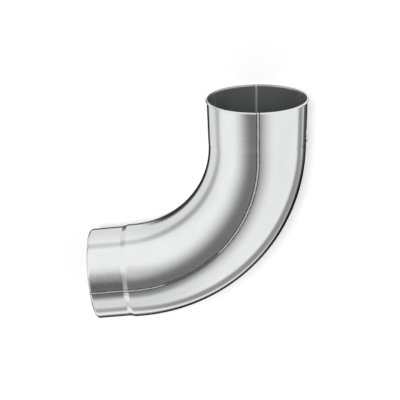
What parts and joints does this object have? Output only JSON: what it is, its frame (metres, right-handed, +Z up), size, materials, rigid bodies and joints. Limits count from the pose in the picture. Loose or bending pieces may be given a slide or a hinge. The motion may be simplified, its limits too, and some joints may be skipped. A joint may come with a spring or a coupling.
{
  "type": "pipe bend",
  "caption": "Galvanised steel rainwater pipe bend with a socket at one end and a stepped-down spigot at the other, pressed in half shells and welded along its flanks.",
  "frame": {"origin": "centre of the socket's mouth, on the pipe's axis", "axes": "+Y out of the socket's mouth; the bend lies in the XY plane and turns towards -X; +Z up, square to the bend, which lies on its side"},
  "size_m": [0.2337, 0.2436, 0.1046],
  "materials": {
    "galvanised_sheet": "bright galvanised sheet, fine grain, semi gloss",
    "weld_seam": "finely rippled weld, a little duller than the sheet"
  },
  "bodies": {
    "root": {"throat_shell": "galvanised_sheet", "heel_shell": "galvanised_sheet", "front_weld": "weld_seam", "rear_weld": "weld_seam"}
  },
  "joints": []
}
